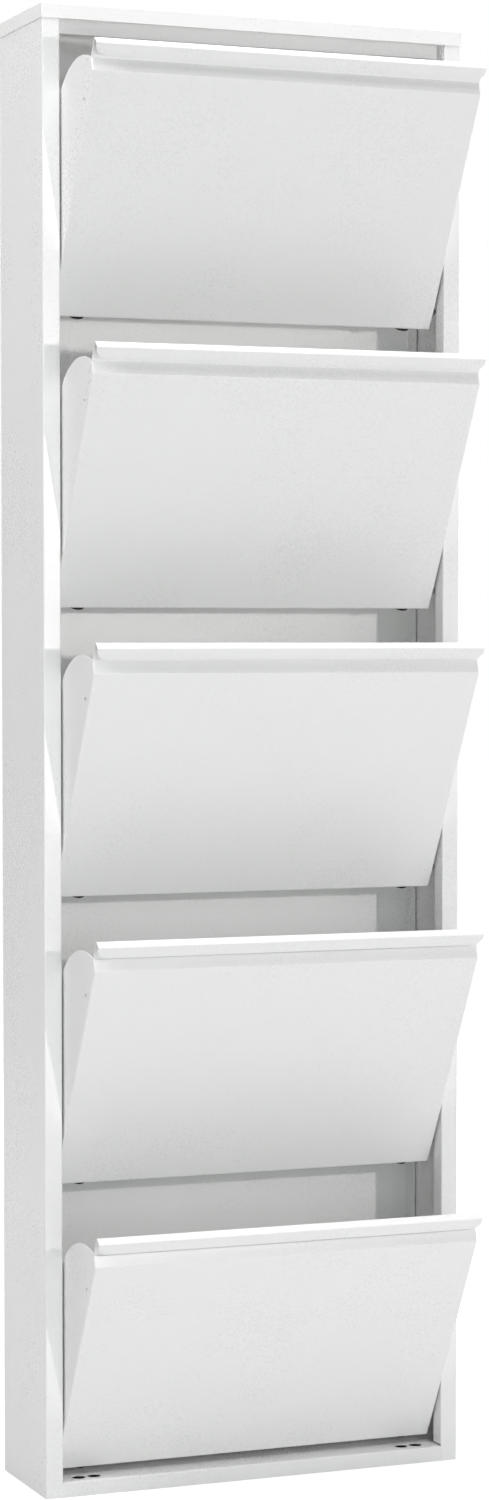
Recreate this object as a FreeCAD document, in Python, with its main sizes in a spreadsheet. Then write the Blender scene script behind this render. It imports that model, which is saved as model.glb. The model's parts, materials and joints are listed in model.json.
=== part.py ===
"""Slim sheet-steel shoe cabinet with tilting flaps, as a parametric FreeCAD document.

The carcass is a folded box: two side panels whose front edges form the posts, a cap, a tray, a rail
and a back panel. Each flap is a folded pocket that turns on two pins in the posts' inner returns and
is drawn open, resting on its upper stop studs. Millimetres, +X to the right, +Y to the back, +Z up.
The origin is on the floor, in the middle of the box that holds the cabinet with its flaps open.
"""
import FreeCAD, Part

import os
import re

import Sketcher

# Driving dimensions: alias, value, meaning.
SIZES = [
    ("cap_width", 500.0, "overall width, over the cap"),
    ("cap_depth", 150.0, "overall depth of the carcass, over the cap"),
    ("height", 1630.0, "overall height"),
    ("sheet", 0.8, "thickness of the sheet steel"),
    ("bend_radius", 1.0, "inner radius of every bend"),
    ("cap_gap", 0.1, "gap between the cap's skirt and the panels inside it"),
    ("join_gap", 0.1, "gap between carcass sheets that lie side by side"),
    ("cap_skirt", 17.0, "height of the cap's skirt"),
    ("post_face", 20.0, "width of a post seen from the front"),
    ("post_return", 20.0, "depth of a post's inner return"),
    ("return_foot", 19.0, "height of the notch below a post's return"),
    ("rear_flange", 12.0, "width of a side panel's rear flange"),
    ("back_inset", 11.0, "how far the back panel lies in from the rear flanges"),
    ("back_flange", 25.0, "depth of the back panel's forward flanges"),
    ("back_gap", 1.2, "gap between the back panel's flanges and the side walls"),
    ("wall_hole_radius", 4.0, "radius of a wall screw hole"),
    ("wall_hole_spacing", 360.0, "distance between the two wall screw holes"),
    ("wall_hole_drop", 140.0, "height of the wall screw holes below the top"),
    ("tray_height", 17.0, "height of the bottom tray"),
    ("tray_lip", 12.0, "width of the tray's lip on the floor"),
    ("tray_hole_radius", 7.5, "radius of an access hole in the tray"),
    ("tray_hole_pair", 18.0, "distance between the two holes of a pair"),
    ("tray_hole_depth", 18.0, "distance of the access holes behind the posts' front"),
    ("rail_setback", 16.0, "distance of the rail behind the posts' front"),
    ("rail_drop", 30.5, "height of the rail's lower edge below the top"),
    ("rail_tab", 12.0, "depth of the rail's top flange and end tabs"),
    ("flap_count", 5, "number of flaps"),
    ("flap_gap", 5.0, "gap below each flap when all are shut"),
    ("flap_headroom", 18.0, "height of the free space above the uppermost flap, when it is shut"),
    ("side_gap", 2.0, "gap between a flap's cheek and the post's return"),
    ("heel_room", 60.0, "distance from the back of a shut flap's cheeks to the cabinet's back"),
    ("fold_radius", 2.0, "outer radius of the folds round a flap's front"),
    ("heel_height", 25.0, "height of the upstand at the back of a flap's floor"),
    ("handle_setback", 10.0, "how far the finger channel lies behind the front"),
    ("slope_rise", 10.5, "height of the slope above the shoulder"),
    ("handle_rise", 33.0, "height of the handle above the shoulder"),
    ("top_fall", 2.5, "how much lower the front of the handle's top is than its back"),
    ("lip_drop", 16.0, "height of the handle from its top to the lip's lower edge"),
    ("lip_inset", 0.5, "how far the lip lies behind the flap's front"),
    ("lip_round", 11.0, "radius of the lip's lower corners"),
    ("hang_hole_radius", 2.25, "radius of the hanging hole in a cheek"),
    ("hang_hole_back", 11.5, "distance of the hanging hole behind the front"),
    ("hang_hole_drop", 37.0, "height of the hanging hole below the shoulder"),
    ("open_angle", 28.0, "how far an open flap leans forward, in degrees"),
    ("pivot_back", 12.0, "distance of the pivot behind a flap's front"),
    ("pivot_up", 65.0, "height of the pivot above a flap's bottom edge"),
    ("pin_radius", 3.0, "radius of a pivot pin"),
    ("pin_head_radius", 5.5, "radius of a pivot pin's head"),
    ("pin_head", 1.5, "thickness of a pivot pin's head"),
    ("pin_tail", 2.5, "length of a pin beyond its bush"),
    ("running_gap", 0.05, "radial clearance of a pin in its bush"),
    ("fit_gap", 0.1, "clearance of a shank or sleeve in a sheet's hole"),
    ("bush_wall", 1.5, "wall of a bush"),
    ("bush_flange_radius", 7.0, "radius of a bush's flange"),
    ("bush_flange", 0.8, "thickness of a bush's flange"),
    ("bush_tail", 1.6, "length of a bush behind the return"),
    ("clip_radius", 5.5, "radius of a pin's retaining clip"),
    ("clip_thickness", 0.6, "thickness of a retaining clip"),
    ("stud_radius", 4.0, "radius of a stop stud"),
    ("stud_reach", 13.0, "length of a stop stud outside its cheek"),
    ("stud_shank_radius", 2.5, "radius of a stop stud's riveted shank"),
    ("stud_head_radius", 4.5, "radius of a stop stud's riveted head"),
    ("stud_head", 1.2, "thickness of a stop stud's riveted head"),
    ("stud_rest_gap", 0.3, "gap between a stop stud and the return it stops on"),
    ("shut_stud_up", 12.0, "height of the stud that stops a shut flap"),
    ("bumper_radius", 9.0, "radius of a bumper where it meets the floor"),
    ("bumper_tip_radius", 8.2, "radius of a bumper's lower face"),
    ("bumper_gap", 1.0, "gap between a bumper and the flap below it, when both are shut"),
    ("bumper_stem_radius", 2.5, "radius of the stem through the floor"),
    ("bumper_cap_radius", 4.0, "radius of the stem's cap in the pocket"),
    ("bumper_cap", 2.0, "thickness of the stem's cap"),
    ("bumper_back", 12.0, "distance of a bumper's centre behind the front"),
    ("bumper_inset", 31.0, "distance of a bumper's centre from the flap's side"),
    ("rivet_radius", 1.6, "radius of a rivet's shank"),
    ("rivet_head_radius", 3.2, "radius of a rivet's head"),
    ("rivet_head", 0.8, "thickness of a rivet's head"),
    ("rivet_tail", 1.5, "length of a rivet's tail"),
    ("rail_rivet_pitch", 14.0, "distance between the two rivets in a rail tab"),
]

# Values that follow from the driving dimensions.
RULES = {
    "face": "sheet + cap_gap",
    "body_half": "cap_width / 2 - face",
    "body_back": "cap_depth - face",
    "wall_inner": "body_half - sheet",
    "post_inner": "body_half - post_face",
    "fill_half": "wall_inner - join_gap",
    "back_half": "wall_inner - back_gap",
    "fill_front": "face + sheet + join_gap",
    "fill_back": "body_back - sheet - join_gap",
    "bend_outer": "bend_radius + sheet",
    "cap_under": "height - sheet - join_gap",
    "back_rear": "body_back - back_inset",
    "back_front": "back_rear - sheet - back_flange",
    "rail_front": "face + rail_setback",
    "rail_half": "post_inner - join_gap",
    # The shut flaps share out the height between the tray and the space above them.
    "flap_base": "tray_height + flap_gap",
    "flap_pitch": "(height - flap_base - flap_headroom) / flap_count",
    "panel_height": "flap_pitch - flap_gap - handle_rise",
    "cheek_depth": "cap_depth - heel_room",
    "flap_half": "post_inner - side_gap",
    "cheek_inner": "flap_half - sheet",
    "handle_top": "panel_height + handle_rise",
    "slope_top": "panel_height + slope_rise",
    # The handle's top falls by top_slope for each millimetre forwards, measured along it by
    # top_stretch.
    "top_slope": "top_fall / (handle_setback + sheet - lip_inset)",
    "top_stretch": "sqrt(1 + top_slope^2)",
    "slope_length": "sqrt(handle_setback^2 + slope_rise^2)",
    "arc_up": "slope_top - sqrt(cheek_depth^2 - handle_setback^2)",
    "hang_hole_up": "panel_height - hang_hole_drop",
    "pivot_depth": "face + pivot_back",
    "pivot_height": "flap_base + pivot_up",
    "lean_cos": "cos(open_angle)",
    "lean_sin": "sin(open_angle)",
    # A flap's own origin, its bottom front edge, when it leans open.
    "open_depth": "pivot_depth - pivot_back * lean_cos + pivot_up * lean_sin",
    "open_height": "pivot_height - pivot_back * lean_sin - pivot_up * lean_cos",
    # The rounded corner of the handle is the open flap's foremost point.
    "front_reach": "open_depth + (lip_inset + bend_outer) * lean_cos - bend_outer"
                   " - (handle_top - top_fall - bend_outer * (top_stretch - top_slope)) * lean_sin",
    "middle": "(cap_depth + front_reach) / 2",
    # Both stop studs meet the rear edge of the post's return: one open, one shut.
    "stop_depth": "face + post_return + stud_rest_gap + stud_radius",
    "shut_stud_back": "stop_depth - face",
    "open_stud_back": "cheek_depth - stud_radius - sheet",
    "open_stud_up": "(open_depth + open_stud_back * lean_cos - stop_depth) / lean_sin",
    "bush_end": "post_inner + sheet + bush_tail",
    "clip_start": "bush_end + join_gap",
    "pin_end": "bush_end + pin_tail",
    "bumper_height": "flap_gap - bumper_gap",
    "bumper_side": "flap_half - bumper_inset",
    "rivet_side": "body_half - rear_flange / 2",
    "rail_rivet_depth": "rail_front - rail_tab / 2",
    "rail_rivet_height": "height - rail_drop + (rail_drop - sheet - rail_rivet_pitch) / 2",
}

# How far a corner of the sheet's inner side lies below the outer one, where the slope is bent.
SLOPE_BEND = "sheet * tan(atan(handle_setback / slope_rise) / 2)"

ALIASES = [alias for alias, _, _ in SIZES]

doc = FreeCAD.newDocument("ShoeCabinet")
sheet = doc.addObject("Spreadsheet::Sheet", "Sizes")
for row, (alias, number, meaning) in enumerate(SIZES, 1):
    sheet.set(f"A{row}", meaning)
    sheet.set(f"B{row}", str(number))
    sheet.setAlias(f"B{row}", alias)
doc.recompute()


def formula(text):
    """Writes out the rules in a formula and points its sizes at the spreadsheet."""
    def swap(match):
        word = match[0]
        if word in RULES:
            return f"({formula(RULES[word])})"
        return f"Sizes.{word}" if word in ALIASES else word
    return re.sub(r"[a-z_]+", swap, text)


def value(text):
    """The number that a formula gives now."""
    return float(sheet.evalExpression(formula(text)))


def bind(thing, path, text):
    """Ties one property to a formula."""
    thing.setExpression(path, formula(text))


def new_body(name):
    body = doc.addObject("PartDesign::Body", name)
    body.Label = name
    body.AllowCompound = True
    return body


def new_sketch(body, plane, name):
    """An empty sketch on one of the body's own origin planes."""
    sketch = body.newObject("Sketcher::SketchObject", name)
    role = f"{plane}_Plane"
    support = next(one for one in body.Origin.OriginFeatures if one.Role == role)
    sketch.AttachmentSupport = (support, [""])
    sketch.MapMode = "FlatFace"
    return sketch


def pin_point(sketch, edge, end, across, up):
    """Holds one end of a sketch edge at a place given by two formulas."""
    for kind, axis, text in (("DistanceX", -2, across), ("DistanceY", -1, up)):
        if text == "0":
            sketch.addConstraint(Sketcher.Constraint("PointOnObject", edge, end, axis))
            continue
        index = sketch.addConstraint(Sketcher.Constraint(kind, -1, 1, edge, end, value(text)))
        bind(sketch, f"Constraints[{index}]", text)


def draw_outline(sketch, corners, arc=None):
    """A closed outline through the corners, counter-clockwise.

    arc gives the index of the edge that is round, its radius and the two places of its centre.
    """
    places = [FreeCAD.Vector(value(across), value(up), 0) for across, up in corners]
    first = len(sketch.Geometry)
    count = len(places)
    for index, place in enumerate(places):
        following = places[(index + 1) % count]
        if arc and index == arc[0]:
            centre = FreeCAD.Vector(value(arc[2]), value(arc[3]), 0)
            begin, end = place - centre, following - centre
            east = FreeCAD.Vector(1, 0, 0)
            circle = Part.Circle(centre, FreeCAD.Vector(0, 0, 1), value(arc[1]))
            edge = Part.ArcOfCircle(circle, begin.getAngle(east), end.getAngle(east))
        else:
            edge = Part.LineSegment(place, following)
        sketch.addGeometry(edge, False)
    for index, (across, up) in enumerate(corners):
        edge = first + index
        following = first + (index + 1) % count
        sketch.addConstraint(Sketcher.Constraint("Coincident", edge, 2, following, 1))
        pin_point(sketch, edge, 1, across, up)
    if arc:
        edge = first + arc[0]
        index = sketch.addConstraint(Sketcher.Constraint("Radius", edge, value(arc[1])))
        bind(sketch, f"Constraints[{index}]", arc[1])


def draw_box(sketch, left, low, right, high):
    draw_outline(sketch, [(left, low), (right, low), (right, high), (left, high)])


def draw_circle(sketch, across, up, radius):
    centre = FreeCAD.Vector(value(across), value(up), 0)
    circle = Part.Circle(centre, FreeCAD.Vector(0, 0, 1), value(radius))
    edge = sketch.addGeometry(circle, False)
    pin_point(sketch, edge, 3, across, up)
    index = sketch.addConstraint(Sketcher.Constraint("Radius", edge, value(radius)))
    bind(sketch, f"Constraints[{index}]", radius)


def pad(body, sketch, length, symmetric=False, reverse=False):
    feature = body.newObject("PartDesign::Pad", f"{sketch.Name}_pad")
    feature.Profile = sketch
    feature.SideType = "Symmetric" if symmetric else "One side"
    feature.Reversed = reverse
    bind(feature, "Length", length)
    doc.recompute()
    return feature


def pocket(body, sketch, length, symmetric=False, reverse=False):
    """Cuts a sketch out of the body and checks that something was cut."""
    before = body.Tip.Shape.Volume
    feature = body.newObject("PartDesign::Pocket", f"{sketch.Name}_cut")
    feature.Profile = sketch
    feature.SideType = "Symmetric" if symmetric else "One side"
    feature.Reversed = reverse
    bind(feature, "Length", length)
    doc.recompute()
    if before - feature.Shape.Volume < 0.1:
        raise RuntimeError(f"{feature.Name} cuts nothing")
    return feature


def edges_at(shape, along, places):
    """Names of the straight edges along an axis that pass through the given places."""
    others = [axis for axis in range(3) if axis != along]
    names = []
    for number, edge in enumerate(shape.Edges, 1):
        if not isinstance(edge.Curve, Part.Line) or abs(abs(edge.Curve.Direction[along]) - 1) > 1e-6:
            continue
        middle = edge.CenterOfMass
        for place in places:
            if all(abs(middle[axis] - place[k]) < 1e-3 for k, axis in enumerate(others)):
                names.append(f"Edge{number}")
    return names


def round_edges(body, along, places, radius):
    """Rounds edges along an axis; each place is a pair of formulas for the other two axes."""
    base = body.Tip
    spots = [tuple(value(text) for text in place) for place in places]
    names = edges_at(base.Shape, along, spots)
    if len(names) != len(spots):
        raise RuntimeError(f"{body.Name}: {len(names)} of {len(spots)} edges found")
    feature = body.newObject("PartDesign::Fillet", f"{base.Name}_round")
    feature.Base = (base, names)
    bind(feature, "Radius", radius)
    doc.recompute()
    return feature


def faces_towards(*directions):
    """A test for flat faces that look one of the given ways."""
    wanted = [FreeCAD.Vector(*direction) for direction in directions]

    def test(face):
        if not isinstance(face.Surface, Part.Plane):
            return False
        normal = face.normalAt(0, 0)
        return any(normal.dot(way) > 0.999 for way in wanted)
    return test


def round_folds(body, radius, *open_ways):
    """Rounds every edge of the solid but those round its open sides."""
    block = body.Tip
    is_open = faces_towards(*open_ways)
    rims = [edge for face in block.Shape.Faces if is_open(face) for edge in face.Edges]
    folds = [f"Edge{number}" for number, edge in enumerate(block.Shape.Edges, 1)
             if not any(edge.isSame(rim) for rim in rims)]
    feature = body.newObject("PartDesign::Fillet", f"{block.Name}_folds")
    feature.Base = (block, folds)
    bind(feature, "Radius", radius)
    doc.recompute()
    return feature


def fold_box(body, radius, *open_ways):
    """Makes the solid a folded box of sheet that is open on the given sides."""
    block = round_folds(body, radius, *open_ways)
    is_open = faces_towards(*open_ways)
    mouths = [f"Face{number}" for number, face in enumerate(block.Shape.Faces, 1) if is_open(face)]
    feature = body.newObject("PartDesign::Thickness", f"{block.Name}_shell")
    feature.Base = (block, mouths)
    feature.Reversed = True
    bind(feature, "Value", "sheet")
    doc.recompute()
    return feature


def revolve(body, sketch, axis):
    """Turns a sketch full circle about a reference: a sketch axis or a construction line."""
    feature = body.newObject("PartDesign::Revolution", f"{sketch.Name}_turn")
    feature.Profile = sketch
    feature.ReferenceAxis = (sketch, [axis])
    feature.Angle = 360
    doc.recompute()
    return feature


def turned_pair(name, profile):
    """Two equal turned pieces on the X axis, one each side; profile is (distance, radius) pairs."""
    body = new_body(name)
    sketch = new_sketch(body, "XY", f"{name}_profile")
    draw_outline(sketch, profile[::-1])
    draw_outline(sketch, [(f"0 - ({across})", radius) for across, radius in profile])
    revolve(body, sketch, "H_Axis")
    return body


def turned_at(name, plane, centre, profile):
    """A piece turned about a line at centre, and its mirror image; profile is (distance, radius)."""
    body = new_body(name)
    sketch = new_sketch(body, plane, f"{name}_profile")
    draw_outline(sketch, [(f"{centre} + {radius}", along) for along, radius in profile])
    line = Part.LineSegment(FreeCAD.Vector(value(centre), 0, 0), FreeCAD.Vector(value(centre), 10, 0))
    axis = sketch.addGeometry(line, True)
    pin_point(sketch, axis, 1, centre, "0")
    pin_point(sketch, axis, 2, centre, "cap_skirt")
    turn = revolve(body, sketch, "Axis0")
    mirror = body.newObject("PartDesign::Mirrored", f"{name}_mirror")
    mirror.Originals = [turn]
    middle = next(one for one in body.Origin.OriginFeatures if one.Role == "YZ_Plane")
    mirror.MirrorPlane = (middle, [""])
    body.Tip = mirror
    doc.recompute()
    return body


def repeat_up(body, feature, spacing, count):
    """Repeats a feature upwards at an equal spacing."""
    pattern = body.newObject("PartDesign::LinearPattern", f"{feature.Name}_row")
    pattern.Originals = [feature]
    role = next(one for one in body.Origin.OriginFeatures if one.Role == "Z_Axis")
    pattern.Direction = (role, [""])
    pattern.Mode = "Spacing"
    bind(pattern, "Offset", spacing)
    bind(pattern, "Occurrences", count)
    body.Tip = pattern
    doc.recompute()
    return pattern


def place_on_carcass(thing, height="0"):
    """Depths on the carcass are drawn from the cap's front; the origin is in the middle."""
    bind(thing, "Placement.Base.y", "0 - middle")
    bind(thing, "Placement.Base.z", height)


def place_on_flap(thing, number, back, up):
    """Puts a piece at a place on open flap number, leaning with it."""
    bind(thing, "Placement.Base.y", f"open_depth - middle + ({back}) * lean_cos - ({up}) * lean_sin")
    bind(thing, "Placement.Base.z",
         f"open_height + {number} * flap_pitch + ({back}) * lean_sin + ({up}) * lean_cos")
    thing.Placement.Rotation = FreeCAD.Rotation(FreeCAD.Vector(1, 0, 0), value("open_angle"))
    bind(thing, "Placement.Rotation.Angle", "open_angle")


def group(name, pieces):
    """Loose copies of one kind of fastener, kept as one sub-part."""
    compound = doc.addObject("Part::Compound", name)
    compound.Label = name
    compound.Links = pieces
    doc.recompute()
    return compound


def make_side_panel(name, sign):
    """One folded panel: return, post, side wall and rear flange."""
    body = new_body(name)
    profile = [
        ("post_inner", "face + post_return"), ("post_inner", "face"),
        ("body_half", "face"), ("body_half", "body_back"),
        ("body_half - rear_flange", "body_back"), ("body_half - rear_flange", "body_back - sheet"),
        ("wall_inner", "body_back - sheet"), ("wall_inner", "face + sheet"),
        ("post_inner + sheet", "face + sheet"), ("post_inner + sheet", "face + post_return"),
    ]
    side = "" if sign > 0 else "0 - "
    section = [(f"{side}({across})", up) for across, up in profile]
    sketch = new_sketch(body, "XY", f"{name}_section")
    draw_outline(sketch, section if sign > 0 else section[::-1])
    pad(body, sketch, "height - bend_outer")
    round_edges(body, 2, [section[k] for k in (6, 7, 8)], "bend_radius")
    round_edges(body, 2, [section[k] for k in (1, 2, 3)], "bend_outer")

    foot = new_sketch(body, "XY", f"{name}_foot")
    near, far = "post_inner - sheet", "post_inner + bend_outer"
    ends = (near, far) if sign > 0 else (f"0 - ({far})", f"0 - ({near})")
    draw_box(foot, ends[0], "face + sheet", ends[1], "face + post_return + sheet")
    pocket(body, foot, "return_foot", reverse=True)

    holes = new_sketch(body, "YZ", f"{name}_hinge_hole")
    draw_circle(holes, "pivot_depth", "pivot_height", "pin_radius + running_gap + bush_wall + fit_gap")
    pocket(body, holes, "post_inner + 4 * sheet", reverse=sign > 0)
    repeat_up(body, body.Tip, "flap_pitch", "flap_count")

    rivets = new_sketch(body, "YZ", f"{name}_rail_hole")
    draw_circle(rivets, "rail_rivet_depth", "rail_rivet_height", "rivet_radius + fit_gap")
    pocket(body, rivets, "post_inner + 4 * sheet", reverse=sign > 0)
    repeat_up(body, body.Tip, "rail_rivet_pitch", "2")

    rear = new_sketch(body, "XZ", f"{name}_tray_hole")
    draw_circle(rear, f"{side}rivet_side", "tray_height / 2", "rivet_radius + fit_gap")
    bind(rear, "AttachmentOffset.Base.z", "0 - body_back - sheet")
    pocket(body, rear, "3 * sheet", reverse=True)
    place_on_carcass(body)
    return body


def make_cap():
    """A shallow lid, open below, whose skirt hangs over the panels."""
    body = new_body("top_cap")
    sketch = new_sketch(body, "XY", "cap_plan")
    draw_box(sketch, "0 - cap_width / 2", "0", "cap_width / 2", "cap_depth")
    pad(body, sketch, "cap_skirt")
    fold_box(body, "bend_outer", (0, 0, -1))
    place_on_carcass(body, "height - cap_skirt")
    return body


def make_tray():
    """The floor tray: top plate, four skirts and a lip that stands on the floor."""
    body = new_body("bottom_tray")
    sketch = new_sketch(body, "XY", "tray_plan")
    draw_box(sketch, "0 - fill_half", "fill_front", "fill_half", "fill_back")
    pad(body, sketch, "tray_height")
    fold_box(body, "bend_outer", (0, 0, -1))

    lip = new_sketch(body, "XY", "tray_lip")
    for inset in ("sheet", "tray_lip"):
        draw_box(lip, f"{inset} - fill_half", f"fill_front + {inset}",
                 f"fill_half - {inset}", f"fill_back - {inset}")
    pad(body, lip, "sheet")

    holes = new_sketch(body, "XY", "tray_holes")
    for side in ("0 - bumper_side", "bumper_side"):
        for step in ("-", "+"):
            draw_circle(holes, f"{side} {step} tray_hole_pair / 2", "face + tray_hole_depth",
                        "tray_hole_radius")
    pocket(body, holes, "tray_height + sheet", reverse=True)

    rivets = new_sketch(body, "XZ", "tray_rivet_holes")
    for side in ("0 - ", ""):
        draw_circle(rivets, f"{side}rivet_side", "tray_height / 2", "rivet_radius + fit_gap")
    bind(rivets, "AttachmentOffset.Base.z", "0 - fill_back - sheet")
    pocket(body, rivets, "3 * sheet", reverse=True)
    place_on_carcass(body)
    return body


def make_rail():
    """The cross rail under the cap: a web with a top flange and two end tabs."""
    body = new_body("front_rail")
    sketch = new_sketch(body, "XY", "rail_plan")
    draw_box(sketch, "0 - rail_half", "rail_front - rail_tab", "rail_half", "rail_front + sheet")
    pad(body, sketch, "rail_drop - sheet - join_gap")
    fold_box(body, "bend_outer", (0, 0, -1), (0, -1, 0))
    rivets = new_sketch(body, "YZ", "rail_holes")
    height = "rail_rivet_height - height + rail_drop"
    draw_circle(rivets, "rail_rivet_depth", height, "rivet_radius + fit_gap")
    cut = pocket(body, rivets, "cap_width", symmetric=True)
    repeat_up(body, cut, "rail_rivet_pitch", "2")
    place_on_carcass(body, "height - rail_drop")
    return body


def make_back_panel():
    """The back panel, with flanges all round that reach forwards along the side walls."""
    body = new_body("back_panel")
    sketch = new_sketch(body, "XY", "back_plan")
    draw_box(sketch, "0 - back_half", "back_front", "back_half", "back_rear")
    pad(body, sketch, "cap_under - tray_height - join_gap")
    fold_box(body, "bend_outer", (0, -1, 0))
    holes = new_sketch(body, "XZ", "wall_holes")
    height = "height - wall_hole_drop - tray_height - join_gap"
    for side in ("0 - wall_hole_spacing / 2", "wall_hole_spacing / 2"):
        draw_circle(holes, side, height, "wall_hole_radius")
    pocket(body, holes, "cap_depth")
    place_on_carcass(body, "tray_height + join_gap")
    return body


def make_bushes():
    """Nylon bushes in the posts' returns, two for each flap."""
    bore = "pin_radius + running_gap"
    start = "post_inner - bush_flange"
    body = turned_pair("hinge_bushes", [
        (start, bore), (start, "bush_flange_radius"), ("post_inner", "bush_flange_radius"),
        ("post_inner", f"{bore} + bush_wall"), ("bush_end", f"{bore} + bush_wall"), ("bush_end", bore),
    ])
    repeat_up(body, body.Tip, "flap_pitch", "flap_count")
    bind(body, "Placement.Base.y", "pivot_depth - middle")
    bind(body, "Placement.Base.z", "pivot_height")
    return body


def make_rail_rivets():
    """Blind rivets through the rail's tabs and the posts' returns."""
    head, grip, tail = "rail_half - sheet", "post_inner + sheet", "1.4 * rivet_radius"
    body = turned_pair("rail_rivets", [
        (f"{head} - rivet_head", "0"), (f"{head} - rivet_head", "rivet_head_radius"),
        (head, "rivet_head_radius"), (head, "rivet_radius"), (grip, "rivet_radius"), (grip, tail),
        (f"{grip} + rivet_tail", tail), (f"{grip} + rivet_tail", "0"),
    ])
    repeat_up(body, body.Tip, "rail_rivet_pitch", "2")
    bind(body, "Placement.Base.y", "rail_rivet_depth - middle")
    bind(body, "Placement.Base.z", "rail_rivet_height")
    return body


def make_tray_rivets():
    """Blind rivets through the rear flanges into the tray's rear skirt."""
    grip, tail = "fill_back - sheet", "1.4 * rivet_radius"
    body = turned_at("tray_rivets", "XY", "rivet_side", [
        (f"{grip} - rivet_tail", "0"), (f"{grip} - rivet_tail", tail), (grip, tail),
        (grip, "rivet_radius"), ("body_back", "rivet_radius"), ("body_back", "rivet_head_radius"),
        ("body_back + rivet_head", "rivet_head_radius"), ("body_back + rivet_head", "0"),
    ])
    place_on_carcass(body, "tray_height / 2")
    return body


def make_pocket(name):
    """The flap's pocket: front, floor, two round-topped cheeks and an upstand at the heel."""
    body = new_body(name)
    outline = new_sketch(body, "YZ", f"{name}_outline")
    draw_outline(outline, [
        ("0", "0"), ("cheek_depth", "0"), ("cheek_depth", "slope_top"),
        ("handle_setback", "slope_top"), ("0", "panel_height"),
    ])
    pad(body, outline, "2 * flap_half", symmetric=True)
    round_folds(body, "fold_radius", (0, 0, 1), (0, 1, 0))

    core = new_body(f"{name}_core")
    inside = new_sketch(core, "YZ", f"{name}_inside")
    shoulder = f"panel_height - {SLOPE_BEND}"
    above = "slope_top + sheet"
    draw_outline(inside, [
        ("sheet", "sheet"), ("cheek_depth + sheet", "sheet"), ("cheek_depth + sheet", above),
        (f"sheet + ({above} - ({shoulder})) * handle_setback / slope_rise", above),
        ("sheet", shoulder),
    ])
    pad(core, inside, "2 * cheek_inner", symmetric=True)
    round_folds(core, "fold_radius - sheet", (0, 0, 1), (0, 1, 0))
    hollow = body.newObject("PartDesign::Boolean", f"{name}_hollow")
    hollow.Type = "Cut"
    hollow.setObjects([core])
    doc.recompute()

    trim = new_sketch(body, "YZ", f"{name}_trim")
    corners = [
        ("cheek_depth", "arc_up"), ("handle_setback", "slope_top"),
        ("handle_setback", "slope_top + sheet"), ("cheek_depth + sheet", "slope_top + sheet"),
        ("cheek_depth + sheet", "arc_up"),
    ]
    draw_outline(trim, corners, arc=(0, "cheek_depth", "0", "arc_up"))
    pocket(body, trim, "cap_width", symmetric=True)

    heel = new_sketch(body, "XY", f"{name}_heel")
    draw_box(heel, "0 - cheek_inner", "cheek_depth - sheet", "cheek_inner", "cheek_depth")
    pad(body, heel, "heel_height")

    holes = new_sketch(body, "YZ", f"{name}_holes")
    draw_circle(holes, "pivot_back", "pivot_up", "pin_radius + fit_gap")
    draw_circle(holes, "shut_stud_back", "shut_stud_up", "stud_shank_radius + fit_gap")
    draw_circle(holes, "open_stud_back", "open_stud_up", "stud_shank_radius + fit_gap")
    draw_circle(holes, "hang_hole_back", "hang_hole_up", "hang_hole_radius")
    pocket(body, holes, "cap_width", symmetric=True)

    stems = new_sketch(body, "XY", f"{name}_stems")
    for side in ("0 - bumper_side", "bumper_side"):
        draw_circle(stems, side, "bumper_back", "bumper_stem_radius + fit_gap")
    pocket(body, stems, "2 * sheet", reverse=True)
    return body


def make_handle(name):
    """The folded handle above the pocket: the slope's upper half, a web, a top and a lip."""
    body = new_body(name)
    section = new_sketch(body, "YZ", f"{name}_section")
    corners = [
        ("handle_setback / 2", "panel_height + slope_rise / 2"),
        ("handle_setback / 2 + sheet * slope_rise / slope_length",
         "panel_height + slope_rise / 2 - sheet * handle_setback / slope_length"),
        ("handle_setback + sheet", f"slope_top - {SLOPE_BEND}"), ("handle_setback + sheet", "handle_top"),
        ("lip_inset", "handle_top - top_fall"), ("lip_inset", "handle_top - lip_drop"),
        ("lip_inset + sheet", "handle_top - lip_drop"),
        ("lip_inset + sheet", "handle_top - top_fall - sheet * (top_stretch - top_slope)"),
        ("handle_setback", "handle_top - sheet * (top_stretch + top_slope)"),
        ("handle_setback", "slope_top"),
    ]
    draw_outline(section, corners)
    pad(body, section, "2 * flap_half", symmetric=True)
    round_edges(body, 0, [corners[k] for k in (7, 8, 9)], "bend_radius")
    round_edges(body, 0, [corners[k] for k in (2, 3, 4)], "bend_outer")
    tips = [(f"{sign}flap_half", "handle_top - lip_drop") for sign in ("", "0 - ")]
    round_edges(body, 1, tips, "lip_round")

    # The slope's upper half lies on the pocket's own slope, so it ends where the folds begin.
    ends = new_sketch(body, "XZ", f"{name}_ends")
    for side in ("", "0 - "):
        spans = [f"{side}(flap_half - fold_radius)", f"{side}(flap_half + sheet)"]
        low, high = sorted(spans, key=value)
        draw_box(ends, low, "panel_height", high, "slope_top")
    pocket(body, ends, "2 * handle_setback")
    return body


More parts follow.
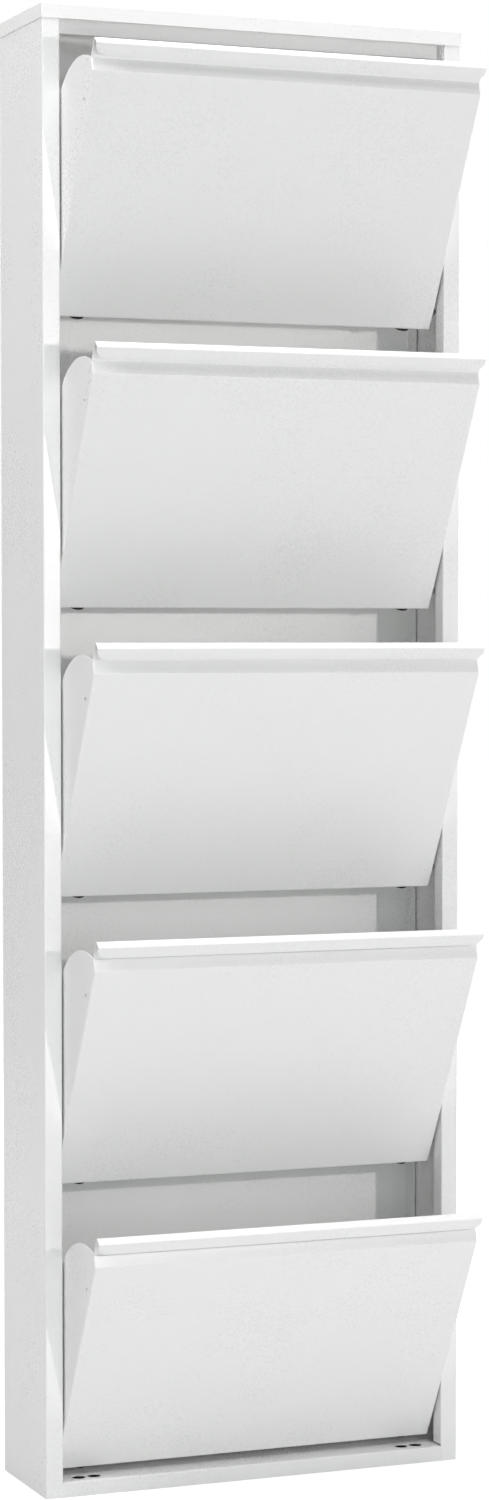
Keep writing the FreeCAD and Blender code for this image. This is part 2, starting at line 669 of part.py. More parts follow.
def make_flap(number):
    """One flap with its pins, clips, stop studs and bumpers; returns its five sub-parts."""
    name = f"flap_{number + 1}"
    shell = doc.addObject("Part::Fuse", f"{name}_shell")
    shell.Label = f"{name}_shell"
    shell.Base = make_pocket(f"{name}_pocket")
    shell.Tool = make_handle(f"{name}_handle")
    shell.Refine = True
    place_on_flap(shell, number, "0", "0")

    head = "cheek_inner - pin_head"
    pins = turned_pair(f"{name}_pins", [
        (head, "0"), (head, "pin_head_radius"), ("cheek_inner", "pin_head_radius"),
        ("cheek_inner", "pin_radius"), ("pin_end", "pin_radius"), ("pin_end", "0"),
    ])
    place_on_flap(pins, number, "pivot_back", "pivot_up")
    clip_end = "clip_start + clip_thickness"
    clips = turned_pair(f"{name}_clips", [
        ("clip_start", "pin_radius"), ("clip_start", "clip_radius"), (clip_end, "clip_radius"),
        (clip_end, "pin_radius"),
    ])
    place_on_flap(clips, number, "pivot_back", "pivot_up")

    head, tip = "cheek_inner - stud_head", "flap_half + stud_reach"
    studs = []
    for use in ("shut", "open"):
        stud = turned_pair(f"{name}_{use}_stud", [
            (head, "0"), (head, "stud_head_radius"), ("cheek_inner", "stud_head_radius"),
            ("cheek_inner", "stud_shank_radius"), ("flap_half", "stud_shank_radius"),
            ("flap_half", "stud_radius"), (tip, "stud_radius"), (tip, "0"),
        ])
        place_on_flap(stud, number, f"{use}_stud_back", f"{use}_stud_up")
        studs.append(stud)

    crown = "sheet + bumper_cap"
    bumpers = turned_at(f"{name}_bumpers", "XZ", "bumper_side", [
        ("0 - bumper_height", "0"), ("0 - bumper_height", "bumper_tip_radius"),
        ("0", "bumper_radius"), ("0", "bumper_stem_radius"), ("sheet", "bumper_stem_radius"),
        ("sheet", "bumper_cap_radius"), (crown, "bumper_cap_radius"), (crown, "0"),
    ])
    place_on_flap(bumpers, number, "bumper_back", "0")
    return [shell, pins, clips, group(f"{name}_stop_studs", studs), bumpers]


def check_and_write(parts):
    """Stops on any failed object or bad shape, then writes one STEP file for each sub-part."""
    doc.recompute()
    for thing in doc.Objects:
        if "Invalid" in thing.State or "Error" in thing.State:
            raise RuntimeError(f"{thing.Name} failed: {thing.State}")
    os.makedirs("parts", exist_ok=True)
    for part in parts:
        shape = part.Shape
        if shape.isNull() or not shape.isValid() or not shape.Solids:
            raise RuntimeError(f"{part.Label} has a bad shape")
    for part in parts:
        part.Shape.exportStep(f"parts/{part.Label}.step")
        box = part.Shape.BoundBox
        print(f"{part.Label}: {len(part.Shape.Solids)} solids, {part.Shape.Volume:.0f} mm3, "
              f"{box.XLength:.1f} x {box.YLength:.1f} x {box.ZLength:.1f}")


parts = [
    make_side_panel("side_left", -1),
    make_side_panel("side_right", 1),
    make_cap(),
    make_tray(),
    make_rail(),
    make_back_panel(),
    make_bushes(),
    make_rail_rivets(),
    make_tray_rivets(),
]
for number in range(int(value("flap_count"))):
    parts += make_flap(number)
check_and_write(parts)
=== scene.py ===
"""Finishes, fittings and studio for a slim sheet-steel shoe cabinet with tilting flaps.

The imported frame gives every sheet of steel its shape. Here each sheet gets a textured powder coat,
the small fittings are modelled in full, and the stage, lamps and camera are set up.
"""

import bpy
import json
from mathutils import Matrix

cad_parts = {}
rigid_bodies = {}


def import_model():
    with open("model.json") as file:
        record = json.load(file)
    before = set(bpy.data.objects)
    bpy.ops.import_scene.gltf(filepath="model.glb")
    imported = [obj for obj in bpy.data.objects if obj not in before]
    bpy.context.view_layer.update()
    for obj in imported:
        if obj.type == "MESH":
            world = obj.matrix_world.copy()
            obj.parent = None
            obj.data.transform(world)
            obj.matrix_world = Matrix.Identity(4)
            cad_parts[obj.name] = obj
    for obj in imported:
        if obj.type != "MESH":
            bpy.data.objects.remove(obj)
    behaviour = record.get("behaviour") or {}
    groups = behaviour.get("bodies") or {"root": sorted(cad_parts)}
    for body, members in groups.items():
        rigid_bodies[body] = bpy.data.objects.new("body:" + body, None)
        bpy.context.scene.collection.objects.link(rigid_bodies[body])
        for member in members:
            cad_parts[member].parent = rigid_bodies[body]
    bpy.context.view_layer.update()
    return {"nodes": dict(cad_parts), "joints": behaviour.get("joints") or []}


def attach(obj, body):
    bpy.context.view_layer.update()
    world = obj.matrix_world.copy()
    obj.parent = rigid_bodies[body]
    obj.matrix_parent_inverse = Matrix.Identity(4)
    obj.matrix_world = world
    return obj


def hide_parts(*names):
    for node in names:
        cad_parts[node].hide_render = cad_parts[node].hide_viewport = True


bl_info = {
    "name": "Sheet-steel shoe cabinet",
    "version": (1, 0, 0),
    "blender": (4, 5, 0),
    "location": "3D View > Sidebar > Shoe cabinet",
    "description": "Powder-coated finish, small fittings and studio for a tilting-flap shoe cabinet",
    "category": "Object",
}

import json
import math

import bmesh
import bpy
from mathutils import Matrix, Vector

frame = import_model()

# The joints stand in order from the lowest flap to the highest.
HINGES = sorted(frame["joints"], key=lambda joint: joint["pos_m"][2])
FLAPS = [hinge["child"] for hinge in HINGES]
CARCASS = HINGES[0]["parent"]
ROUND_STEPS = 40
MILLIMETRE = 0.001
SAME_SPOT = 1e-6
SHARP_ANGLE = math.radians(35)

# Turns that lay a fitting made along Z towards the cabinet's right and its left.
OUTWARD = [Matrix.Rotation(math.radians(angle), 4, "Y") for angle in (90, -90)]

# The powder coat: how strongly it varies over a sheet, the noise scales of its slow clouds and fine
# specks, and how much more its roughness varies than its colour does.
COAT = "Textured powder coat"
UNEVENNESS = 0.035
CLOUD_SCALE = 7.0
SPECK_SCALE = 420.0
ROUGHNESS_GAIN = 4.0

# How far the roughness of metal, nylon and rubber swings either way.
ROUGHNESS_SWING = 0.08

FLOOR_COLOUR = (0.68, 0.68, 0.68, 1.0)
WHITE = (1.0, 1.0, 1.0, 1.0)

# Distances, in metres, between which the floor's glow rises to full.
GLOW_NEAR, GLOW_FAR = 0.4, 3.0

FRAME_HEIGHT = 36.0
LENS_SHIFT = (-0.0065, 0.035)

# Corners of a node closer together than this, in metres, belong to one stud or one rivet.
STUD_REACH = 0.0115
RIVET_REACH = 0.007

# Lamps: name, power as a multiple of the light setting, width, place and colour.
LAMPS = [
    ("Key light", 0.22, 0.08, (0.71, -3.06, 1.14), (1.0, 0.965, 0.97)),
    ("Front softbox", 0.34, 1.8, (-0.5, -3.56, 0.99), (0.93, 1.0, 0.98)),
    ("High softbox", 0.25, 1.8, (-0.16, -1.79, 3.92), (1.0, 1.0, 1.0)),
    ("High left softbox", 0.68, 1.6, (-2.51, -0.44, 3.35), (1.0, 1.0, 1.0)),
    ("Overhead softbox", 0.5, 1.5, (0.0, -0.3, 3.6), (1.0, 1.0, 1.0)),
    ("Rear softbox", 0.5, 1.8, (0.8, 3.3, 1.5), (1.0, 1.0, 1.0)),
    ("Right softbox", 0.45, 1.8, (3.3, 0.6, 1.4), (1.0, 1.0, 1.0)),
]
LIT_SPOT = Vector((0.0, 0.0, 0.8))

# Turned fittings, from axis to axis: radius and place along the axis, in millimetres. The pins,
# studs, bushes and rail rivets lie across the cabinet and are measured from its middle.
PIN = [
    (0.0, 224.8), (2.2, 224.88), (3.9, 225.2), (5.1, 225.7), (5.5, 226.3), (3.0, 226.3),
    (3.0, 231.58), (2.4, 231.62), (2.4, 232.22), (3.0, 232.26), (3.0, 233.5), (2.5, 234.0),
    (0.0, 234.0),
]
STUD = [
    (0.0, 225.1), (1.9, 225.16), (3.4, 225.42), (4.3, 225.85), (4.5, 226.3), (2.5, 226.3),
    (2.5, 227.1), (3.8, 227.1), (4.0, 227.3), (4.0, 239.4), (3.7, 239.9), (3.2, 240.1), (0.0, 240.1),
]
BUSH = [
    (3.05, 228.5), (3.25, 228.3), (6.5, 228.3), (7.0, 228.6), (7.0, 229.1), (4.55, 229.1),
    (4.55, 231.1), (4.15, 231.5), (3.05, 231.5), (3.05, 228.5),
]
# Inner and outer radius, and near and far face, of a retaining clip.
CLIP = (2.42, 5.5, 231.64, 232.2)
# A blind rivet, from its domed head, at 0, to its tail.
RIVET = [
    (0.0, 0.42), (0.75, 0.42), (0.85, 0.1), (1.5, 0.0), (2.4, 0.16), (3.0, 0.45), (3.2, 0.8),
    (1.6, 0.8), (1.6, 2.5), (2.2, 2.5), (2.24, 3.2), (1.8, 3.8), (1.0, 4.0), (0.0, 4.0),
]
# A bumper, from its worn face below to the cap of its stem above the flap's floor.
BUMPER = [
    (0.0, -3.9), (7.8, -4.0), (8.35, -3.9), (8.55, -3.6), (8.65, -2.9), (8.9, -0.8), (9.0, -0.25),
    (8.8, 0.0), (2.5, 0.0), (2.5, 0.8), (3.8, 0.85), (4.0, 1.15), (3.6, 1.9), (2.6, 2.55),
    (1.3, 2.8), (0.0, 2.8),
]


# ---------------------------------------------------------------- settings

class CabinetFinish(bpy.types.PropertyGroup):
    coat_colour: bpy.props.FloatVectorProperty(
        name="Coat colour", description="Colour of the powder coat", subtype="COLOR", size=3,
        min=0.0, max=1.0, default=(0.92, 0.92, 0.915))
    coat_roughness: bpy.props.FloatProperty(
        name="Coat roughness", description="Roughness of the powder coat", min=0.05, max=1.0,
        default=0.3)
    peel_size: bpy.props.FloatProperty(
        name="Grain size", description="Width of one bump of the textured coat", subtype="DISTANCE",
        min=0.0002, max=0.01, default=0.0026)
    peel_height: bpy.props.FloatProperty(
        name="Grain height", description="Height of the coat's bumps", subtype="DISTANCE",
        min=0.0, max=0.001, default=0.00028)
    zinc_colour: bpy.props.FloatVectorProperty(
        name="Zinc colour", description="Colour of pins, clips and studs", subtype="COLOR", size=3,
        min=0.0, max=1.0, default=(0.62, 0.63, 0.64))
    nylon_colour: bpy.props.FloatVectorProperty(
        name="Nylon colour", description="Colour of the hinge bushes", subtype="COLOR", size=3,
        min=0.0, max=1.0, default=(0.8, 0.8, 0.76))
    rubber_colour: bpy.props.FloatVectorProperty(
        name="Rubber colour", description="Colour of the bumpers", subtype="COLOR", size=3,
        min=0.0, max=1.0, default=(0.01, 0.01, 0.0105))


class CabinetFittings(bpy.types.PropertyGroup):
    bumper_side: bpy.props.FloatProperty(
        name="Bumper distance", description="Distance of a bumper from the cabinet's middle",
        subtype="DISTANCE", default=0.1961)
    bumper_back: bpy.props.FloatProperty(
        name="Bumper setback", description="Distance of a bumper behind its flap's front",
        subtype="DISTANCE", default=0.012)
    pivot_back: bpy.props.FloatProperty(
        name="Pivot setback", description="Distance of the pivot behind the flap's front",
        subtype="DISTANCE", default=0.012)
    pivot_up: bpy.props.FloatProperty(
        name="Pivot height", description="Height of the pivot above the flap's lower edge",
        subtype="DISTANCE", default=0.065)
    open_angle: bpy.props.FloatProperty(
        name="Open angle", description="Lean of an open flap", subtype="ANGLE",
        default=math.radians(28))
    clip_opening: bpy.props.FloatProperty(
        name="Clip opening", description="How much of a full turn a retaining clip leaves open",
        subtype="ANGLE", default=math.radians(70))


class CabinetStage(bpy.types.PropertyGroup):
    floor_size: bpy.props.FloatProperty(
        name="Floor size", description="Width of the floor", subtype="DISTANCE", default=40.0)
    floor_glow: bpy.props.FloatProperty(
        name="Floor glow", description="Light that the camera sees in the floor by the cabinet",
        default=0.6)
    lamp_power: bpy.props.FloatProperty(
        name="Light", description="Power that each lamp takes its own multiple of",
        subtype="POWER", default=94.0)
    sky_strength: bpy.props.FloatProperty(
        name="Room light", description="Strength of the light from all round", default=0.01)
    lens: bpy.props.FloatProperty(
        name="Lens", description="Focal length on a 36 mm tall frame, in millimetres", default=83.6)
    camera_place: bpy.props.FloatVectorProperty(
        name="Camera place", description="Where the camera stands", subtype="TRANSLATION", size=3,
        default=(-1.4644, -3.6094, 0.9484))
    camera_turn: bpy.props.FloatVectorProperty(
        name="Camera turn", description="Pitch, roll and heading of the camera", subtype="EULER",
        size=3, default=(math.radians(87.25), 0.0, math.radians(-22.15)))


# ---------------------------------------------------------------- node helpers

def new_material(name):
    """A node material, its tree and its Principled shader."""
    material = bpy.data.materials.new(name)
    material.use_nodes = True
    tree = material.node_tree
    shader = tree.nodes["Principled BSDF"]
    return material, tree, shader


def add_node(tree, kind, **settings):
    node = tree.nodes.new(kind)
    for key, setting in settings.items():
        setattr(node, key, setting)
    return node


def set_sockets(node, **values):
    """Sets input sockets by name, with underscores for spaces."""
    for key, number in values.items():
        node.inputs[key.replace("_", " ")].default_value = number
    return node


def math_node(tree, operation, *sources):
    """Works out one sum from other nodes' outputs and plain numbers, and gives its result."""
    node = add_node(tree, "ShaderNodeMath", operation=operation)
    for socket, source in zip(node.inputs, sources):
        if isinstance(source, bpy.types.NodeSocket):
            tree.links.new(source, socket)
        else:
            socket.default_value = source
    return node.outputs[0]


def coat_texture_group():
    """Textured powder coat: fine bumps, bright specks and slow unevenness over the sheet."""
    name = "Powder coat texture"
    if name in bpy.data.node_groups:
        return bpy.data.node_groups[name]
    group = bpy.data.node_groups.new(name, "ShaderNodeTree")
    sockets = group.interface
    sockets.new_socket("Colour", in_out="INPUT", socket_type="NodeSocketColor")
    for socket in ("Grain size", "Grain height", "Roughness", "Unevenness"):
        sockets.new_socket(socket, in_out="INPUT", socket_type="NodeSocketFloat")
    sockets.new_socket("Colour", in_out="OUTPUT", socket_type="NodeSocketColor")
    sockets.new_socket("Roughness", in_out="OUTPUT", socket_type="NodeSocketFloat")
    sockets.new_socket("Normal", in_out="OUTPUT", socket_type="NodeSocketVector")

    inward = add_node(group, "NodeGroupInput")
    outward = add_node(group, "NodeGroupOutput")
    place = add_node(group, "ShaderNodeTexCoord")
    link = group.links.new

    grain = set_sockets(add_node(group, "ShaderNodeTexNoise"), Detail=2.0, Roughness=0.55)
    link(place.outputs["Object"], grain.inputs["Vector"])
    link(math_node(group, "DIVIDE", 1.0, inward.outputs["Grain size"]), grain.inputs["Scale"])
    bump = set_sockets(add_node(group, "ShaderNodeBump"), Strength=1.0)
    link(inward.outputs["Grain height"], bump.inputs["Distance"])
    link(grain.outputs["Fac"], bump.inputs["Height"])

    cloud = set_sockets(add_node(group, "ShaderNodeTexNoise"), Scale=CLOUD_SCALE, Detail=3.0,
                        Roughness=0.5)
    link(place.outputs["Object"], cloud.inputs["Vector"])
    speck = set_sockets(add_node(group, "ShaderNodeTexNoise"), Scale=SPECK_SCALE, Detail=1.0)
    link(place.outputs["Object"], speck.inputs["Vector"])
    blend = math_node(group, "ADD", cloud.outputs["Fac"], speck.outputs["Fac"])
    centred = math_node(group, "SUBTRACT", blend, 1.0)
    share = math_node(group, "MULTIPLY", centred, inward.outputs["Unevenness"])

    tint = add_node(group, "ShaderNodeVectorMath", operation="SCALE")
    link(inward.outputs["Colour"], tint.inputs[0])
    link(math_node(group, "ADD", share, 1.0), tint.inputs["Scale"])
    rough = math_node(group, "MULTIPLY_ADD", share, ROUGHNESS_GAIN, inward.outputs["Roughness"])

    link(tint.outputs["Vector"], outward.inputs["Colour"])
    link(rough, outward.inputs["Roughness"])
    link(bump.outputs["Normal"], outward.inputs["Normal"])
    return group


def coat_material(finish):
    """Powder coat, one material for every sheet and rivet."""
    if COAT in bpy.data.materials:
        return bpy.data.materials[COAT]
    material, tree, shader = new_material(COAT)
    texture = add_node(tree, "ShaderNodeGroup", node_tree=coat_texture_group())
    texture.inputs["Colour"].default_value = (*finish.coat_colour, 1.0)
    set_sockets(texture, Grain_size=finish.peel_size, Grain_height=finish.peel_height,
                Roughness=finish.coat_roughness, Unevenness=UNEVENNESS)
    for output, socket in (("Colour", "Base Color"), ("Roughness", "Roughness"), ("Normal", "Normal")):
        tree.links.new(texture.outputs[output], shader.inputs[socket])
    set_sockets(shader, Specular_IOR_Level=0.5, IOR=1.5)
    return material


def fine_grain_material(name, colour, roughness, metallic, scale, height, spread):
    """Metal, nylon or rubber: one colour with a fine grain that shifts colour and roughness."""
    if name in bpy.data.materials:
        return bpy.data.materials[name]
    material, tree, shader = new_material(name)
    link = tree.links.new
    place = add_node(tree, "ShaderNodeTexCoord")
    noise = set_sockets(add_node(tree, "ShaderNodeTexNoise"), Scale=scale, Detail=3.0)
    link(place.outputs["Object"], noise.inputs["Vector"])
    shade = add_node(tree, "ShaderNodeMapRange")
    link(noise.outputs["Fac"], shade.inputs["Value"])
    set_sockets(shade, To_Min=1.0 - spread, To_Max=1.0 + spread)
    tint = add_node(tree, "ShaderNodeVectorMath", operation="SCALE")
    tint.inputs[0].default_value = tuple(colour)
    link(shade.outputs["Result"], tint.inputs["Scale"])
    link(tint.outputs["Vector"], shader.inputs["Base Color"])
    rough = add_node(tree, "ShaderNodeMapRange")
    link(noise.outputs["Fac"], rough.inputs["Value"])
    set_sockets(rough, To_Min=roughness - ROUGHNESS_SWING, To_Max=roughness + ROUGHNESS_SWING)
    link(rough.outputs["Result"], shader.inputs["Roughness"])
    bump = set_sockets(add_node(tree, "ShaderNodeBump"), Strength=1.0, Distance=height)
    link(noise.outputs["Fac"], bump.inputs["Height"])
    link(bump.outputs["Normal"], shader.inputs["Normal"])
    shader.inputs["Metallic"].default_value = metallic
    return material


def zinc_material(finish):
    return fine_grain_material("Zinc plate", finish.zinc_colour, 0.34, 1.0, 900.0, 0.00003, 0.06)


def nylon_material(finish):
    return fine_grain_material("Natural nylon", finish.nylon_colour, 0.5, 0.0, 700.0, 0.00003, 0.03)


def rubber_material(finish):
    return fine_grain_material("Black rubber", finish.rubber_colour, 0.62, 0.0, 1200.0, 0.00005, 0.2)


# ---------------------------------------------------------------- mesh helpers

def coat_node(name, material):
    """Gives a sheet of the frame its finish."""
    for slot in frame["nodes"][name].material_slots:
        slot.material = material


def flap_place(fittings, hinge, across, back, up):
    """Where a spot on an open flap is, with its lean."""
    lean = Matrix.Rotation(fittings.open_angle, 4, "X")
    spot = lean @ Vector((0.0, back - fittings.pivot_back, up - fittings.pivot_up))
    return Matrix.Translation(Vector(hinge["pos_m"]) + spot + Vector((across, 0.0, 0.0))) @ lean


def middle(numbers):
    """Halfway between the lowest and the highest of some numbers."""
    numbers = list(numbers)
    return (min(numbers) + max(numbers)) / 2


def world_corners(name):
    """Every corner of a node's mesh, where it stands in the scene."""
    node = frame["nodes"][name]
    return [node.matrix_world @ vertex.co for vertex in node.data.vertices]


def pair_centres(name, reach):
    """Where, in Y and Z, the axes of a node's turned pairs lie; reach is wider than one piece."""
    groups = []
    for corner in world_corners(name):
        if corner.x < 0:
            continue
        near = [group for group in groups
                if math.hypot(group[0].y - corner.y, group[0].z - corner.z) < reach]
        if near:
            near[0].append(corner)
        else:
            groups.append([corner])
    return [[middle(corner[axis] for corner in group) for axis in (1, 2)] for group in groups]


def foot_corners():
    """The lowest and highest X and Y of the cabinet's foot."""
    corners = world_corners("side_left") + world_corners("side_right")
    return [(limit(corner.x for corner in corners), limit(corner.y for corner in corners), 0.0)
            for limit in (min, max)]


def clip_mesh(inner, outer, low, high, opening):
    """A flat retaining ring about Z that is open on one side, in millimetres."""
    shape = bmesh.new()
    corners = [shape.verts.new((radius * MILLIMETRE, 0.0, height * MILLIMETRE))
               for radius, height in ((inner, low), (outer, low), (outer, high), (inner, high))]
    face = shape.faces.new(corners)
    shape.transform(Matrix.Rotation(opening / 2, 4, "Z"))
    shape.normal_update()
    bmesh.ops.spin(shape, geom=[*corners, *face.edges, face], cent=(0, 0, 0), axis=(0, 0, 1),
                   angle=2 * math.pi - opening, steps=ROUND_STEPS)
    bmesh.ops.recalc_face_normals(shape, faces=shape.faces)
    return shape


def turned_mesh(profile):
    """A closed turned shape about Z; profile is (radius, height) in millimetres, axis to axis."""
    shape = bmesh.new()
    corners = [shape.verts.new((radius * MILLIMETRE, 0.0, height * MILLIMETRE))
               for radius, height in profile]
    edges = [shape.edges.new(pair) for pair in zip(corners, corners[1:])]
    bmesh.ops.spin(shape, geom=corners + edges, cent=(0, 0, 0), axis=(0, 0, 1),
                   angle=2 * math.pi, steps=ROUND_STEPS, use_merge=True)
    bmesh.ops.remove_doubles(shape, verts=shape.verts, dist=SAME_SPOT)
    bmesh.ops.recalc_face_normals(shape, faces=shape.faces)
    return shape


def add_piece(name, shapes, body, material, replaced=()):
    """One object from (bmesh, matrix) pairs; it rides on a body and keeps its place in its mesh."""
    whole = bmesh.new()
    for shape, place in shapes:
        part = shape.copy()
        part.transform(place)
        mesh = bpy.data.meshes.new("part")
        part.to_mesh(mesh)
        part.free()
        whole.from_mesh(mesh)
        bpy.data.meshes.remove(mesh)
    mesh = bpy.data.meshes.new(name)
    whole.to_mesh(mesh)
    whole.free()
    mesh.materials.append(material)
    mesh.shade_smooth()
    mesh.set_sharp_from_angle(angle=SHARP_ANGLE)
    piece = bpy.data.objects.new(name, mesh)
    bpy.context.scene.collection.objects.link(piece)
    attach(piece, body)
    if replaced:
        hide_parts(*replaced)
    return piece


# ---------------------------------------------------------------- operators

class CABINET_OT_coat(bpy.types.Operator):
    """Give every sheet of the carcass and the flaps its powder coat"""
    bl_idname = "cabinet.coat"
    bl_label = "Powder coat"

    def execute(self, context):
        finish = context.scene.cabinet_finish
        coat = coat_material(finish)
        sheets = ["side_left", "side_right", "top_cap", "bottom_tray", "front_rail", "back_panel"]
        sheets += [f"{flap}_shell" for flap in FLAPS]
        for sheet in sheets:
            coat_node(sheet, coat)
        return {"FINISHED"}


class CABINET_OT_hinge_parts(bpy.types.Operator):
    """Turn the hinge bushes, pins, clips and stop studs"""
    bl_idname = "cabinet.hinge_parts"
    bl_label = "Hinge parts"

    def execute(self, context):
        fittings = context.scene.cabinet_fittings
        finish = context.scene.cabinet_finish
        zinc = zinc_material(finish)
        pin, stud, bush = turned_mesh(PIN), turned_mesh(STUD), turned_mesh(BUSH)
        clip = clip_mesh(*CLIP, fittings.clip_opening)
        bushes = []
        for hinge, flap in zip(HINGES, FLAPS):
            pivots = [flap_place(fittings, hinge, 0.0, fittings.pivot_back, fittings.pivot_up) @ turn
                      for turn in OUTWARD]
            add_piece(f"{flap}_turned_pins", [(pin, place) for place in pivots], flap, zinc,
                      replaced=(f"{flap}_pins",))
            add_piece(f"{flap}_open_clips", [(clip, place) for place in pivots], flap, zinc,
                      replaced=(f"{flap}_clips",))
            stops = [Matrix.Translation((0.0, *centre)) @ turn
                     for centre in pair_centres(f"{flap}_stop_studs", STUD_REACH)
                     for turn in OUTWARD]
            add_piece(f"{flap}_turned_studs", [(stud, place) for place in stops], flap, zinc,
                      replaced=(f"{flap}_stop_studs",))
            spot = Matrix.Translation((0.0, *hinge["pos_m"][1:]))
            bushes += [(bush, spot @ turn) for turn in OUTWARD]
        add_piece("moulded_bushes", bushes, CARCASS, nylon_material(finish),
                  replaced=("hinge_bushes",))
        for shape in (pin, stud, bush, clip):
            shape.free()
        return {"FINISHED"}


class CABINET_OT_rivets(bpy.types.Operator):
    """Set the blind rivets of the rail and the tray"""
    bl_idname = "cabinet.rivets"
    bl_label = "Rivets"

    def execute(self, context):
        coat = coat_material(context.scene.cabinet_finish)
        rivet = turned_mesh(RIVET)
        head = min(abs(corner.x) for corner in world_corners("rail_rivets"))
        set_out = Matrix.Translation((0.0, 0.0, head))
        rail = [(rivet, Matrix.Translation((0.0, *centre)) @ turn @ set_out)
                for centre in pair_centres("rail_rivets", RIVET_REACH)
                for turn in OUTWARD]
        add_piece("rail_blind_rivets", rail, CARCASS, coat, replaced=("rail_rivets",))

        corners = world_corners("tray_rivets")
        side = middle(abs(corner.x) for corner in corners)
        back = max(corner.y for corner in corners)
        up = middle(corner.z for corner in corners)
        to_front = Matrix.Rotation(math.radians(90), 4, "X")
        tray = [(rivet, Matrix.Translation((sign * side, back, up)) @ to_front) for sign in (-1, 1)]
        add_piece("tray_blind_rivets", tray, CARCASS, coat, replaced=("tray_rivets",))
        rivet.free()
        return {"FINISHED"}


class CABINET_OT_bumpers(bpy.types.Operator):
    """Mould the rubber bumpers under each flap's floor"""
    bl_idname = "cabinet.bumpers"
    bl_label = "Rubber bumpers"

    def execute(self, context):
        fittings = context.scene.cabinet_fittings
        rubber = rubber_material(context.scene.cabinet_finish)
        bumper = turned_mesh(BUMPER)
        for hinge, flap in zip(HINGES, FLAPS):
            places = [flap_place(fittings, hinge, side * fittings.bumper_side,
                                 fittings.bumper_back, 0.0) for side in (-1, 1)]
            add_piece(f"{flap}_moulded_bumpers", [(bumper, place) for place in places], flap, rubber,
                      replaced=(f"{flap}_bumpers",))
        bumper.free()
        return {"FINISHED"}


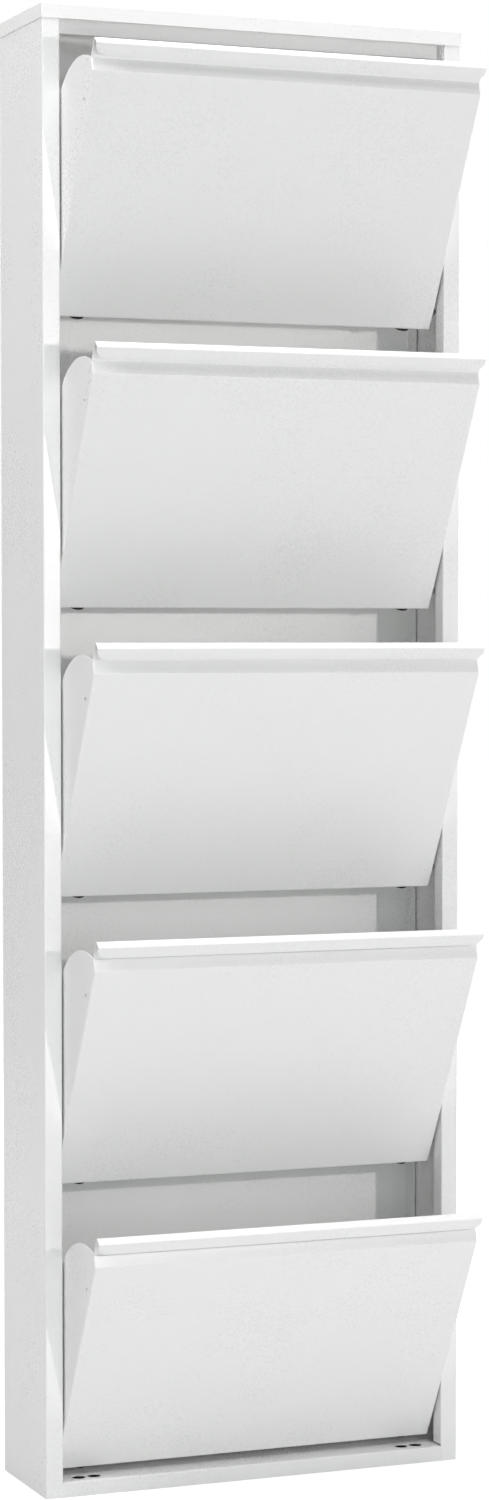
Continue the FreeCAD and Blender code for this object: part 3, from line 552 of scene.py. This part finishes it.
class CABINET_OT_stage(bpy.types.Operator):
    """Set up the floor, lamps, room light and camera"""
    bl_idname = "cabinet.stage"
    bl_label = "Stage"

    def execute(self, context):
        stage = context.scene.cabinet_stage
        context.scene.view_settings.view_transform = "Standard"
        self.make_floor(stage)
        self.make_room(context.scene, stage)
        for lamp in LAMPS:
            self.make_lamp(stage, *lamp)
        self.make_camera(context.scene, stage)
        return {"FINISHED"}

    def make_floor(self, stage):
        shape = bmesh.new()
        bmesh.ops.create_grid(shape, x_segments=1, y_segments=1, size=stage.floor_size / 2)
        mesh = bpy.data.meshes.new("Floor")
        shape.to_mesh(mesh)
        shape.free()
        floor = bpy.data.objects.new("Floor", mesh)
        bpy.context.scene.collection.objects.link(floor)
        material, tree, shader = new_material("Pale floor")
        set_sockets(shader, Base_Color=FLOOR_COLOUR, Roughness=0.9, Specular_IOR_Level=0.1,
                    Emission_Color=WHITE)
        glow = math_node(tree, "MULTIPLY", self.seen_directly(tree), self.glow_by_distance(tree, stage))
        open_floor = math_node(tree, "MULTIPLY", glow, self.clear_of_cabinet(tree))
        tree.links.new(open_floor, shader.inputs["Emission Strength"])
        mesh.materials.append(material)

    def glow_by_distance(self, tree, stage):
        """Soft near the cabinet, where its shadow falls, and white far away."""
        place = add_node(tree, "ShaderNodeTexCoord")
        away = add_node(tree, "ShaderNodeVectorMath", operation="LENGTH")
        tree.links.new(place.outputs["Object"], away.inputs[0])
        spread = set_sockets(add_node(tree, "ShaderNodeMapRange"), From_Min=GLOW_NEAR,
                             From_Max=GLOW_FAR, To_Min=stage.floor_glow, To_Max=1.0)
        tree.links.new(away.outputs["Value"], spread.inputs["Value"])
        return spread.outputs["Result"]

    def clear_of_cabinet(self, tree):
        """0 on the floor inside the cabinet's foot, which stays dark, and 1 all round it."""
        low, high = (Vector(corner) for corner in foot_corners())
        centre, half = (low + high) / 2, (high - low) / 2
        place = add_node(tree, "ShaderNodeTexCoord")
        offset = add_node(tree, "ShaderNodeVectorMath", operation="SUBTRACT")
        tree.links.new(place.outputs["Object"], offset.inputs[0])
        offset.inputs[1].default_value = (centre.x, centre.y, 0.0)
        away = add_node(tree, "ShaderNodeVectorMath", operation="ABSOLUTE")
        tree.links.new(offset.outputs["Vector"], away.inputs[0])
        parts = add_node(tree, "ShaderNodeSeparateXYZ")
        tree.links.new(away.outputs["Vector"], parts.inputs["Vector"])
        beyond = [math_node(tree, "GREATER_THAN", parts.outputs[socket], reach)
                  for socket, reach in (("X", half.x), ("Y", half.y))]
        return math_node(tree, "MAXIMUM", *beyond)

    def seen_directly(self, tree):
        """1 for rays from the camera and for what shows in gloss or glass, 0 for lighting."""
        path = add_node(tree, "ShaderNodeLightPath")
        either = math_node(tree, "MAXIMUM", path.outputs["Is Camera Ray"],
                           path.outputs["Is Glossy Ray"])
        return math_node(tree, "MAXIMUM", either, path.outputs["Is Transmission Ray"])

    def make_room(self, scene, stage):
        world = bpy.data.worlds.new("Studio")
        world.use_nodes = True
        scene.world = world
        tree = world.node_tree
        background = tree.nodes["Background"]
        background.inputs["Color"].default_value = WHITE
        strength = add_node(tree, "ShaderNodeMapRange")
        tree.links.new(self.seen_directly(tree), strength.inputs["Value"])
        set_sockets(strength, To_Min=stage.sky_strength, To_Max=1.0)
        tree.links.new(strength.outputs["Result"], background.inputs["Strength"])

    def make_lamp(self, stage, name, share, width, place, colour):
        """A square lamp that looks at the cabinet's middle; the narrower, the harder its shadows."""
        light = bpy.data.lights.new(name, "AREA")
        light.energy = stage.lamp_power * share
        light.size = width
        light.color = colour
        lamp = bpy.data.objects.new(name, light)
        lamp.location = place
        lamp.rotation_euler = (Vector(place) - LIT_SPOT).to_track_quat("Z", "Y").to_euler()
        bpy.context.scene.collection.objects.link(lamp)

    def make_camera(self, scene, stage):
        lens = bpy.data.cameras.new("Camera")
        lens.sensor_width = FRAME_HEIGHT
        lens.lens = stage.lens
        lens.shift_x, lens.shift_y = LENS_SHIFT
        camera = bpy.data.objects.new("Camera", lens)
        camera.location = stage.camera_place
        camera.rotation_euler = stage.camera_turn
        scene.collection.objects.link(camera)
        scene.camera = camera


class CABINET_PT_panel(bpy.types.Panel):
    bl_idname = "CABINET_PT_panel"
    bl_label = "Shoe cabinet"
    bl_space_type = "VIEW_3D"
    bl_region_type = "UI"
    bl_category = "Shoe cabinet"

    def draw(self, context):
        for step in STEPS:
            self.layout.operator(step.bl_idname)
        for settings in ("cabinet_finish", "cabinet_fittings", "cabinet_stage"):
            group = getattr(context.scene, settings)
            box = self.layout.box()
            for key in group.__annotations__:
                box.prop(group, key)


STEPS = (CABINET_OT_coat, CABINET_OT_hinge_parts, CABINET_OT_rivets, CABINET_OT_bumpers,
         CABINET_OT_stage)
SETTINGS = {
    "cabinet_finish": CabinetFinish,
    "cabinet_fittings": CabinetFittings,
    "cabinet_stage": CabinetStage,
}


def register():
    for settings in SETTINGS.values():
        bpy.utils.register_class(settings)
    for step in (*STEPS, CABINET_PT_panel):
        bpy.utils.register_class(step)
    for name, settings in SETTINGS.items():
        setattr(bpy.types.Scene, name, bpy.props.PointerProperty(type=settings))


def unregister():
    for name in SETTINGS:
        delattr(bpy.types.Scene, name)
    for step in (CABINET_PT_panel, *reversed(STEPS)):
        bpy.utils.unregister_class(step)
    for settings in SETTINGS.values():
        bpy.utils.unregister_class(settings)


def run_step(step):
    """Calls one of the operators as the panel does."""
    section, name = step.bl_idname.split(".")
    if getattr(getattr(bpy.ops, section), name)() != {"FINISHED"}:
        raise RuntimeError(f"{step.bl_label} did not finish")


def main():
    register()
    for step in STEPS:
        run_step(step)


if __name__ == "__main__":
    main()
